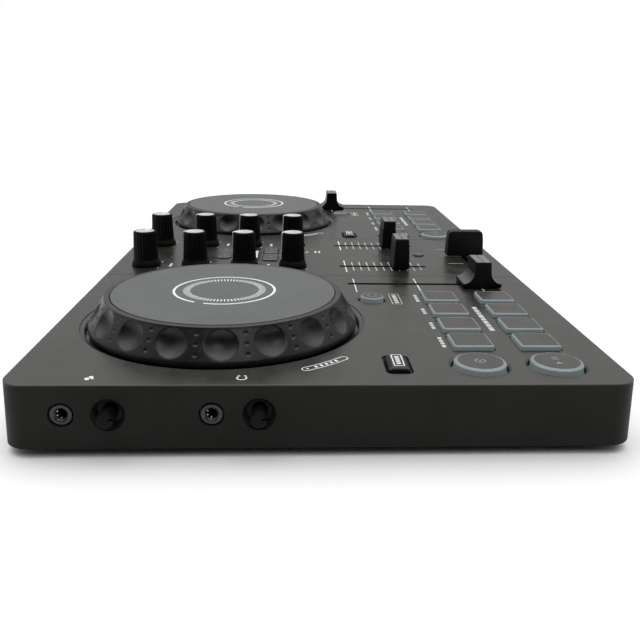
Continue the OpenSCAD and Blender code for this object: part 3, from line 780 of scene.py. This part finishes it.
def jog_plate(side):
    """The satin plate on its hub, with a printed ring and a ring of ticks."""
    node = f"jog_plate_{side}"
    form, bottom, top = over_deck(node)
    r = size(node).x / 2
    profile = [(4.05, 6), (4.05, bottom), (8, bottom), (8, top - 3.4)]
    profile += shift(((-6, -3.4), (-6, -1.4), (-0.1, -1.4), (0, -1.3), (0, -0.3), (-0.08, -0.12),
                      (-0.3, 0), (-1, 0)), r, top)
    profile += [(30, top), (6, top)]
    form.turned(profile, 144)
    form.paint = 1
    form.ink(arc_band(RING_R - RING_W / 2, RING_R + RING_W / 2, RING_GAP[1], 360 + RING_GAP[0], 150), top)
    tick = bar(TICK_R1 - TICK_R0, TICK_W, (TICK_R0 + TICK_R1) / 2)
    for i in range(TICKS):
        form.ink(turn(tick, 360 * i / TICKS), top)
    form.piece(f"jog_top_{side}", f"jog_{side}", [jog_top, print_white], [node], "jog_plate")


# ---- buttons

def key_loops(form, outline, low, rings):
    """A button from its plunger up: plunger, hidden flange, body and the given top rings."""
    flange_top = under_z - 0.4 - top_z
    flange_low = under_z - 1.6 - top_z
    body = outline(0)
    stem = as_circle(body, 1.5)
    loops = [lift(stem, low), lift(stem, flange_low), lift(outline(FLANGE), flange_low),
             lift(outline(FLANGE), flange_top), lift(body, flange_top)]
    return [form.loop(points) for points in loops + [lift(outline(-inset), z) for inset, z in rings]]


def light_key(node, rim, marks=(), finish=pad_rim_painted_glow):
    """A translucent button: a narrow sloping rim, of the given width and drop, all round a printed
    film let into its top."""
    outline = key_outline(node)
    inset, drop = rim
    form, low, h = over_deck(node)
    rings = [(0, h - drop - 0.14), (0.03, h - drop - 0.04), (0.12, h - drop + 0.05),
             (inset - 0.12, h - 0.08), (inset - 0.04, h - 0.02), (inset + 0.06, h)]
    loops = key_loops(form, outline, low, rings)
    loops.append(form.loop(lift(outline(-inset - 0.1), h - FILM_DROP)))
    form.close(loops, 1)
    form.paint = 2
    for mark in marks:
        form.prism(mark, h - KEY_SUNK, h - FILM_DROP + PRINT)
    form.piece(f"{node}_key", node, [finish, pad_top, icon_grey], [node], "button_clear", sharp=60)


def triangle(r, degrees=0, x=0.0, y=0.0):
    return shift([ray(r, degrees + a) for a in (0, 120, 240)], x, y)


# How far a light key's film is let in, the width and drop of the rims, and what is printed on the keys
FILM_DROP = 0.05
PAD_RIM, BIG_RIM, MIXER_RIM, MONITOR_RIM = (0.6, 0.35), (1.1, 0.5), (0.5, 0.35), (0.4, 0.3)
ROUND_MARKS = {
    "sync": (PAD_RIM, [arc_band(1.7, 2.1, 20, 340, 24)]),
    "cue": (BIG_RIM, [arc_band(1.5, 2.0, 0, 340, 30), circle(0.6, 20)]),
    "play": (BIG_RIM, [triangle(1.5, 0, -2.2), bar(0.7, 2.4, 1.5), bar(0.7, 2.4, 3.1)]),
}


def buttons():
    for node in PADS:
        light_key(node, PAD_RIM)
    for side in SIDES:
        for kind, (rim, marks) in ROUND_MARKS.items():
            light_key(f"{kind}_button_{side}", rim, marks)
        arrow = triangle(1.1, 0 if side == "right" else 180)
        light_key(f"load_button_{side}", MIXER_RIM, [arrow], mixer_key)
    arrows = [triangle(1.1, 90, -5), triangle(1.1, 270, 5)]
    light_key("browse_button", MIXER_RIM, arrows, mixer_key)
    light_key("monitor_button", MONITOR_RIM, [circle(0.7, 20)], mixer_key)
    for side in SIDES:
        shift_key(side)


def shift_key(side):
    """A black key with sloping sides, with a frame and four bars printed on its top."""
    node = f"shift_button_{side}"
    form, low, h = over_deck(node)
    w, d = key_size(node)
    flange = key_loops(form, key_outline(node), low, [])
    sides = [lift(rounded(w - 2 * x, d - 2 * y, r), z)
             for x, y, r, z in ((0, 0, 1.5, -0.6), (0.02, 0.1, 1.4, 0.3), (0.1, 0.55, 1.2, h - 0.85),
                                (0.3, 0.95, 1.0, h - 0.5), (0.95, 1.45, 0.7, h - 0.1), (1.1, 1.6, 0.6, h))]
    form.close(flange + [form.loop(points) for points in sides])
    form.paint = 1
    fw, fd = w - 2.6, d - 3.9
    form.frame(rounded(fw, fd, 0.5), rounded(fw - 0.8, fd - 0.8, 0.25), h - KEY_SUNK, h + PRINT)
    for i in range(4):
        form.ink(bar(1.2, 1.5, -3.0 + 2.0 * i), h, KEY_SUNK)
    form.piece(f"{node}_key", node, [key_black, print_white], [node], "button_black", sharp=50)


# ---- knobs

FLUTES = 22
FLUTE_DEPTH = 0.32
BODY_ROWS = 6
# Half the width of a knob's pointer, and where it points, which differs in the front row
POINTER_HALF = 0.9
POINTER_AT, FRONT_POINTER_AT = 97, -15


def knob(node):
    """A fluted, tapering knob on a flange, with a white pointer down its side and over its top, and a pale
    disc on its top that is a painted highlight.
    """
    foot, h = heights(node)
    foot_r = size(node).x / 2
    top_r = foot_r - 1.6
    profile = [(0.6, foot + 0.6), (3.2, foot + 0.6), (3.2, foot)]
    profile += shift(((-0.15, 0), (0, 0.15), (0, 0.55), (-0.12, 0.8)), foot_r, foot)
    profile += shift(((1.15, 2), (0.75, 2.5), (0.55, 3.1), (0.48, 4)), top_r, foot)
    for i in range(1, BODY_ROWS + 1):
        t = i / BODY_ROWS
        profile.append((top_r + 0.48 * (1 - t), foot + 4 + (h - 1.0 - foot - 4) * t))
    profile += shift(((-0.1, -0.55), (-0.35, -0.2), (-0.7, 0), (-0.9, 0), (-1, -0.1)), top_r, h)
    profile.append((0.8, h - 0.1))

    def fluted(r, z, a):
        t = min(1, max(0, (z - foot - 2.6) / 1.2)) * min(1, max(0, (h - 0.3 - z) / 0.8))
        groove = (0.5 - 0.5 * math.cos(FLUTES * a)) ** 2
        return r - FLUTE_DEPTH * t * groove, z

    form = Form()
    form.turned(profile, FLUTES * 6, fluted)
    # The pale disc on the top is a painted highlight, where the top catches the light from above
    form.paint = 2
    form.prism(circle(top_r - 1.05, 44), h - 0.4, h - 0.06)
    form.paint = 1
    path = [(top_r + 0.56, foot + 3.6)]
    path += shift(((0.08, -1), (-0.02, -0.5), (-0.3, -0.1), (-0.8, 0.05)), top_r, h)
    path += [(0.4, h + 0.02), (0.4, h - 0.6), (top_r - 1.2, h - 0.8), (top_r - 0.4, foot + 3.6)]
    form.solid([[(r, s * POINTER_HALF, z) for r, z in path] for s in (-1, 1)])
    angle = FRONT_POINTER_AT if node.endswith("_4") else POINTER_AT
    form.piece(f"{node}_body", node, [knob_black, print_white, light_print_and_painted_knob_highlight], [node], "knob_rubber", sharp=45,
               turned_by=stood(node, angle))


NOTCH_AT, NOTCH_HALF = math.radians(-15), 0.16


def level_knob(kind):
    """A small round knob with a notch in its face, on the left wall."""
    node = f"{kind}_level_knob"
    low, high = node_box(node)
    at = middle(node)
    r = size(node).y / 2
    length = high.x - low.x
    count = 48
    form = Form(low.x, at.y, at.z)

    def ring(radius, depth, notch):
        points = []
        for i in range(count):
            a = math.pi + 2 * math.pi * i / count
            off = (a - NOTCH_AT) % (2 * math.pi) - math.pi
            reach = radius * notch if abs(off) < NOTCH_HALF else radius
            points.append((depth, reach * math.cos(a), reach * math.sin(a)))
        return points

    rings = [ring(r - 0.6, 0, 0.3), ring(r - 0.3, 0.03, 0.35), ring(r - 0.08, 0.15, 0.35),
             ring(r, 0.4, 0.35), ring(r, 1.1, 0.35), ring(r, 1.15, 1), ring(r, length, 1)]
    form.solid(rings)
    form.piece(f"{node}_body", node, [knob_black], [node], "knob_rubber", sharp=40)


# ---- fader caps

LINE_W = 0.5


def stem(form, low):
    form.prism(bar(4, 1.2), low, 0.9)


def flared_cap(node):
    """A fin that flares out in a hollow curve at each end of its travel along Y."""
    low, h = heights(node)
    half, wide = size(node).y / 2, size(node).x / 2
    foot, fin, rise, tip = 0.4, 3.8, 6.0, 2.0
    loops = [(half - a, wide - b, foot + z)
             for a, b, z in ((0.6, 0.5, 0), (0.15, 0.12, 0.15), (0, 0, 0.6), (0, 0, tip - 0.4),
                             (0.12, 0, tip - 0.1), (0.4, 0.02, tip))]
    for a in range(8, 91, 7):
        c, s = ray(1, a)
        loops.append((half - (half - fin - 0.3) * s, wide - 0.04, foot + tip + rise * (1 - c)))
    loops += [(fin - a, wide - b, h - z)
              for a, b, z in ((-0.1, 0.06, 2), (0, 0.08, 0.5), (0.08, 0.14, 0.2), (0.28, 0.32, 0.03),
                              (0.45, 0.5, 0))]
    form = Form()
    form.close([form.loop(lift(rounded(2 * a, 2 * b, min(0.6, a * 0.2)), z)) for a, b, z in loops], 1)
    # The hollow flares take the lighter copy of the cap plastic: painted sheen
    for face in form.mesh.faces:
        at = face.calc_center_median() / MM
        if foot + tip + 0.02 < at.z < foot + tip + 4.6 and abs(at.y) < wide - 0.3:
            face.material_index = 2
    stem(form, low)
    form.ink(bar(LINE_W, 2 * wide - 1.2), h, KEY_SUNK)
    form.piece(f"{node}_body", node, [cap_black, print_grey, painted_sheen_cap], [node], "cap_plastic", sharp=40,
               turned_by=stood(node, 90))


def plain_cap(node, along_y=True):
    """A straight cap with leaning faces, ridged below a top that carries a line."""
    low, h = heights(node)
    across = size(node)
    a0, b0 = (across.y / 2, across.x / 2) if along_y else (across.x / 2, across.y / 2)
    foot = 0.7 if along_y else 1.0
    form = Form()
    shape = [(0.35, 0.35, foot), (0.06, 0.06, foot + 0.15), (0, 0, foot + 0.5)]
    lean, rise = (0.6, 0.5), h - 1.5 - foot
    for t in (0.25, 0.5, 0.72):
        shape.append((lean[0] * t, lean[1] * t, foot + 0.5 + rise * t))
    if along_y:
        for t in (0.76, 0.83, 0.9, 0.97):
            for step, deep in ((0.0, 0.0), (0.02, 0.22), (0.035, 0.22), (0.055, 0.0)):
                shape.append((lean[0] * (t + step) + deep, lean[1] * t, foot + 0.5 + rise * (t + step)))
        shape += [(0.75, 0.62, h - 0.35), (0.95, 0.85, h - 0.08), (1.1, 1.0, h)]
    else:
        shape += [(0.6, 0.75, h - 1.5), (0.75, 1.0, h - 0.7), (0.95, 1.5, h - 0.25), (1.1, 2.2, h)]
    form.close([form.loop(lift(rounded(2 * (a0 - a), 2 * (b0 - b), 0.8), z)) for a, b, z in shape],
               1 if along_y else 0)
    stem(form, low)
    form.ink(bar(LINE_W, 2 * b0 - (2.4 if along_y else 5)), h, KEY_SUNK)
    form.piece(f"{node}_body", node, [cap_black, print_grey], [node], "cap_plastic", sharp=40,
               turned_by=stood(node, 90 if along_y else 0))


# ---- sockets, feet and printing

def along_x(form, profile, y, z, x0, count=48):
    """A body of revolution along X from (radius, depth) points."""
    form.solid([[(x0 + depth, y + u, z + v) for u, v in circle(r, count)] for r, depth in profile])


# Where the contacts show inside a side socket, as angles and a distance from its axis
CONTACTS, CONTACT_R = (150, 205, 262), 1.55


def side_jacks():
    left = node_box("side_jacks")[0].x
    form = Form(0, mid_y, 0)
    z = middle("mic_level_knob").z
    for y in JACKS.values():
        form.paint = 0
        along_x(form, [(1.8, 14.3), (1.8, 0.75), (2.05, 0.45), (2.3, 0.2), (2.55, 0.05), (2.8, 0),
                       (3.2, 0), (3.45, 0.1), (3.6, 0.35), (3.6, 2.8), (4.7, 2.8), (4.7, 16)], y, z, left)
        form.paint = 1
        for angle in CONTACTS:
            u, v = ray(CONTACT_R, angle)
            along_x(form, [(0.12, 1.0), (0.3, 1.15), (0.3, 3.0), (0.12, 3.1)], y - u, z + v, left, 12)
    form.piece("side_socket_pair", "case", [jack_black, steel], ["side_jacks"], "component_black", sharp=35)


FOOT_R = 8.0


def rubber_feet():
    """Round feet with a soft rim and a slightly hollow sole, where the node has its feet."""
    top = node_box("rubber_feet")[1].z
    corners = [vertex.co / MM for vertex in frame["nodes"]["rubber_feet"].data.vertices]
    places = set()
    for at in corners:
        if not any(math.hypot(at.x - x, at.y - y) < 3 * FOOT_R for x, y in places):
            near = [p for p in corners if math.hypot(p.x - at.x, p.y - at.y) < 2.2 * FOOT_R]
            places.add(tuple(round((min(p[k] for p in near) + max(p[k] for p in near)) / 2, 2)
                             for k in (0, 1)))
    profile = [(5.5, 0.25), (6.2, 0.08), (6.6, 0), (7.1, 0), (7.5, 0.12), (7.85, 0.45), (FOOT_R, 0.9),
               (FOOT_R, top)]
    form = Form()
    for x, y in sorted(places):
        form.solid([lift(circle(r, 56, x, y), z) for r, z in profile])
    form.piece("feet", "case", [rubber], ["rubber_feet"], "rubber", sharp=35)


def dashes(form, x, y, widths, height, gap=0.7):
    """A row of short bars in place of a printed word, centred on a point."""
    length = sum(widths) + gap * (len(widths) - 1)
    at = x - length / 2
    for w in widths:
        form.ink(bar(w, height, at + w / 2, y))
        at += w + gap


# The printed capsule beside a jog wheel, from the wheel's axis: how far out its middle is, the angles
# between which it runs, half its width, and its line
CAPSULE_R, CAPSULE_FROM, CAPSULE_TO, CAPSULE_HALF = 64.6, 209.9, 224.7, 1.7
LINE = 0.35


def deck_printing(form, x, y):
    """Marks of one deck, from the axis of its jog wheel: pale words, a white capsule."""
    form.paint = 1
    box_x, box_y, box_w, box_d, line = x + 29.15, y - 73.95, 16.7, 4.6, 0.3
    form.frame(rounded(box_w, box_d, 0.6, box_x, box_y),
               rounded(box_w - 2 * line, box_d - 2 * line, 0.35, box_x, box_y), -PRINT_SUNK, PRINT)
    dashes(form, box_x, box_y, (2.6, 1.8, 2.2, 2.6, 1.6), 1.8)
    for at, widths in ((-29, (2.6, 2.0, 2.4, 2.2)), (-9.2, (2.4, 1.8, 2.4)), (10.4, (2.2, 1.8, 2.2)),
                       (30.2, (2.8, 2.0, 2.4, 2.0))):
        dashes(form, x + at, y - 83.8, widths, 1.5)
    dashes(form, x + 0.7, y - 107, (4.4, 3.2, 3.6, 3.0, 4.0, 2.8, 3.4, 3.2), 2.0)
    form.paint = 0
    outer, inner = (shift(capsule(half), x, y) for half in (CAPSULE_HALF, CAPSULE_HALF - LINE))
    form.frame(outer, inner, -PRINT_SUNK, PRINT)
    for a in (213.4, 215.4, 217.4, 219.4, 221.4):
        form.ink(turn(bar(1.5, 1.0, CAPSULE_R), a, x, y))
    form.ink(shift(circle(0.45, 16, *ray(CAPSULE_R, 210.3)), x, y))


def capsule(half, steps=16):
    """A bent capsule about the origin: a band of a ring with half-round ends."""
    angles = [CAPSULE_FROM + (CAPSULE_TO - CAPSULE_FROM) * i / steps for i in range(steps + 1)]
    round_end = [180 * i / 8 for i in range(1, 8)]
    points = [ray(CAPSULE_R + half, a) for a in angles]
    points += shift([ray(half, CAPSULE_TO + a) for a in round_end], *ray(CAPSULE_R, CAPSULE_TO))
    points += [ray(CAPSULE_R - half, a) for a in reversed(angles)]
    points += shift([ray(half, CAPSULE_FROM + 180 + a) for a in round_end], *ray(CAPSULE_R, CAPSULE_FROM))
    return points


# How far from the middle of a slot the ticks begin
TICK_FROM = 1.6
CHANNEL_STEPS = 10


def slot_tick(form, x, y, far, towards, width):
    form.ink(bar(far - TICK_FROM, width, x + towards * (far + TICK_FROM) / 2, y))


def printing():
    """Everything printed on the deck, as thin raised ink."""
    form = Form(mid_x, mid_y, top_z)
    for side in SIDES:
        deck_printing(form, *spot(f"jog_plate_{side}"))
    for side in SIDES:
        x, y, travel, _ = joint_middle(f"tempo_cap_{side}")
        for i, (left, right) in enumerate(((14.7, 9.1), (12.4, 10.3), (12.4, 10.3))):
            at = y + travel / 2 - travel * i / 2
            slot_tick(form, x, at, left, -1, 0.5)
            slot_tick(form, x, at, right, 1, 0.5)
    for side in SIDES:
        x, y, travel, _ = joint_middle(f"channel_cap_{side}")
        for i in range(CHANNEL_STEPS + 1):
            at = y + travel / 2 - travel * i / CHANNEL_STEPS
            far = {0: 12.8, CHANNEL_STEPS: 7.0}.get(i, 9.4)
            form.paint = 0 if i == 0 else 1
            for s in (-1, 1):
                slot_tick(form, x, at, far, s, 0.6)
    x, y, travel, _ = joint_middle("crossfader_cap")
    for s in (-1, 0, 1):
        for near, far in ((4, 12.5), (-9, -3.5)):
            form.ink(bar(0.5, far - near, x + s * 18, y + (near + far) / 2))
    form.paint = 0
    for node in KNOBS:
        x, y = spot(node)
        if y + 14 < case_d / 2 - 3:
            dashes(form, x, y + 12.9, (1.9, 1.5, 1.9), 1.4, gap=0.5)
        for a in (-135, -45):
            form.ink(shift(circle(0.45, 16, *ray(10, a)), x, y))
    dashes(form, 1.2, 31.4, (4.4, 3.4, 4.0, 3.6), 1.5)
    form.ink(shift(arc_band(1.4, 1.9, 30, 330, 24), 7.7, 4.0))
    for y, widths in ((-2.0, (2.4, 1.6)), (-4.2, (1.6, 2.4))):
        dashes(form, 8.0, y, widths, 1.1)
    icons(form)
    form.piece("deck_printing", "case", [print_white, light_print_and_painted_knob_highlight], slot="case_plastic", sharp=60)


def icons(form):
    """Plain signs of a microphone and of headphones beside their sockets."""
    x, y = -case_w / 2 + 6, 76.5
    form.ink(turn(rounded(2.0, 1.5, 0.7), 30, x - 0.6, y + 0.5))
    form.ink(turn([(-2.4, -0.35), (0.2, -0.75), (0.2, 0.75), (-2.4, 0.35)], 30, x + 1.4, y - 0.2))
    y = 27.5
    form.ink(shift(arc_band(1.35, 1.8, 20, 340, 24), x, y))
    for s in (-1, 1):
        form.ink(rounded(1.0, 0.8, 0.3, x + 1.6, y + s * 0.95))


def usb_port():
    """A flat rounded metal shell with its tongue."""
    low, high = node_box("usb_port")
    at = middle("usb_port")
    form = Form(at.x, high.y, at.z)
    w, h = high.x - low.x, high.z - low.z
    rings = [(w - 0.7, h - 0.7, -6.5), (w - 0.7, h - 0.7, -0.15), (w - 0.55, h - 0.55, 0),
             (w - 0.15, h - 0.15, 0), (w, h, -0.15), (w, h, low.y - high.y)]
    form.solid([[(u, depth, v) for u, v in rounded(a, b, min(a, b) / 2 - 0.05, steps=8)]
                for a, b, depth in rings])
    form.paint = 1
    form.solid([[(u, depth, v) for u, v in rounded(6.7, 0.7, 0.15)] for depth in (-6.6, -1.1, -1.0)])
    form.piece("data_socket", "case", [steel, jack_black], ["usb_port"], "steel", sharp=35)


def rca_sockets():
    """Two output sockets: coloured collar, gold barrel and its centre contact."""
    at = middle("rca_sockets")
    form = Form(at.x, node_box("rca_sockets")[1].y, at.z)
    for s in (-1, 1):
        x = s * RCA_PITCH / 2

        def ring(profile, paint, x=x):
            form.paint = paint
            form.solid([[(x + u, -depth, v) for u, v in circle(r, 48)] for r, depth in profile])

        ring([(3.0, 8.5), (3.0, 6.9), (3.6, 6.9), (3.6, 0.3), (3.75, 0.05), (3.95, 0.05), (4.1, 0.25),
              (4.1, 11)], 0)
        ring([(1.6, 6.8), (1.6, 0.3), (1.75, 0.1), (2.5, 0.1), (2.8, 0.3), (2.8, 6.8)], 2 if s < 0 else 3)
    form.piece("output_sockets", "case", [brass, component, output_white, output_red], ["rca_sockets"],
               "brass", sharp=35)


# ---- nodes that stay as they are

CARRIED = {
    "bottom_cover": cover_finish, "case_screws": screw_black, "main_pcb": board_green,
    "control_boards": board_green, "key_switches": component, "knob_pots": component,
    "fader_units": component, "jog_spindles": steel,
}


def paint_carried():
    for name, finish in CARRIED.items():
        node = frame["nodes"][name]
        node.data.materials.clear()
        node.data.materials.append(finish)


# ---- floor and light

# How wide the floor is, in metres
FLOOR_W = 80.0


def stage():
    form = bmesh.new()
    form.faces.new([form.verts.new((x, y, 0)) for x, y in bar(FLOOR_W, FLOOR_W)])
    data = bpy.data.meshes.new("floor")
    form.to_mesh(data)
    form.free()
    floor = added("floor", data)
    data.materials.append(surface("floor_paper", (0.86, 0.86, 0.86), 0.8, 0.01, 200, 2))


# How bright the studio is by the sine of the height above the horizon
SKY = ((0.0, 0.27), (0.16, 0.38), (0.32, 0.64), (0.45, 0.9), (0.7, 1.7), (1.0, 2.95))
# What is left of that light on the left, where the camera is, and between which X it comes up
DIMMEST, DIM_EDGE = 0.05, (-0.75, 0.15)
# The soft box: the direction to it, the cosines of its soft edge, and its light
BOX_TOWARDS, BOX_EDGE, BOX_LIGHT = (-0.6, -0.2, 0.77), (0.94, 0.99), 1.7


def world():
    """A soft studio, bright above and dim near the horizon, with a white backdrop."""
    made = bpy.data.worlds.new("studio")
    bpy.context.scene.world = made
    made.use_nodes = True
    nodes, link = made.node_tree.nodes, made.node_tree.links.new
    white = (1, 1, 1, 1)
    glow = put(nodes["Background"], Color=white)
    backdrop = put(nodes.new("ShaderNodeBackground"), Color=white, Strength=1.0)
    place = nodes.new("ShaderNodeTexCoord")
    split = nodes.new("ShaderNodeSeparateXYZ")
    link(place.outputs["Generated"], split.inputs["Vector"])

    def soft_step(source, edge, low, high):
        step = put(nodes.new("ShaderNodeMapRange"), From_Min=edge[0], From_Max=edge[1], To_Min=low,
                   To_Max=high)
        step.interpolation_type = "SMOOTHSTEP"
        link(source, step.inputs["Value"])
        return step.outputs["Result"]

    def combine(operation, a, b):
        math_node = nodes.new("ShaderNodeMath")
        math_node.operation = operation
        link(a, math_node.inputs[0])
        link(b, math_node.inputs[1])
        return math_node.outputs["Value"]

    height = nodes.new("ShaderNodeFloatCurve")
    curve = height.mapping.curves[0]
    top = SKY[-1][1]
    curve.points[0].location = (SKY[0][0], SKY[0][1] / top)
    curve.points[1].location = (SKY[-1][0], 1)
    for z, value in SKY[1:-1]:
        curve.points.new(z, value / top)
    height.mapping.update()
    link(split.outputs["Z"], height.inputs["Value"])
    side = soft_step(split.outputs["X"], DIM_EDGE, DIMMEST * top, top)
    facing = nodes.new("ShaderNodeVectorMath")
    facing.operation = "DOT_PRODUCT"
    facing.inputs[1].default_value = Vector(BOX_TOWARDS).normalized()
    link(place.outputs["Generated"], facing.inputs[0])
    box = soft_step(facing.outputs["Value"], BOX_EDGE, 0.0, BOX_LIGHT)
    dimmed = combine("MULTIPLY", height.outputs["Value"], side)
    link(combine("ADD", dimmed, box), glow.inputs["Strength"])
    path = nodes.new("ShaderNodeLightPath")
    mix = nodes.new("ShaderNodeMixShader")
    link(path.outputs["Is Camera Ray"], mix.inputs["Fac"])
    link(glow.outputs["Background"], mix.inputs[1])
    link(backdrop.outputs["Background"], mix.inputs[2])
    link(mix.outputs["Shader"], nodes["World Output"].inputs["Surface"])
    bpy.context.scene.view_settings.view_transform = "Standard"


make_camera()
top_case()
for side in SIDES:
    jog_ring(side)
    jog_plate(side)
buttons()
for node in KNOBS:
    knob(node)
for kind in JACKS:
    level_knob(kind)
for side in SIDES:
    flared_cap(f"tempo_cap_{side}")
    plain_cap(f"channel_cap_{side}")
plain_cap("crossfader_cap", False)
side_jacks()
usb_port()
rca_sockets()
rubber_feet()
printing()
paint_carried()
stage()
world()

bpy.context.view_layer.update()
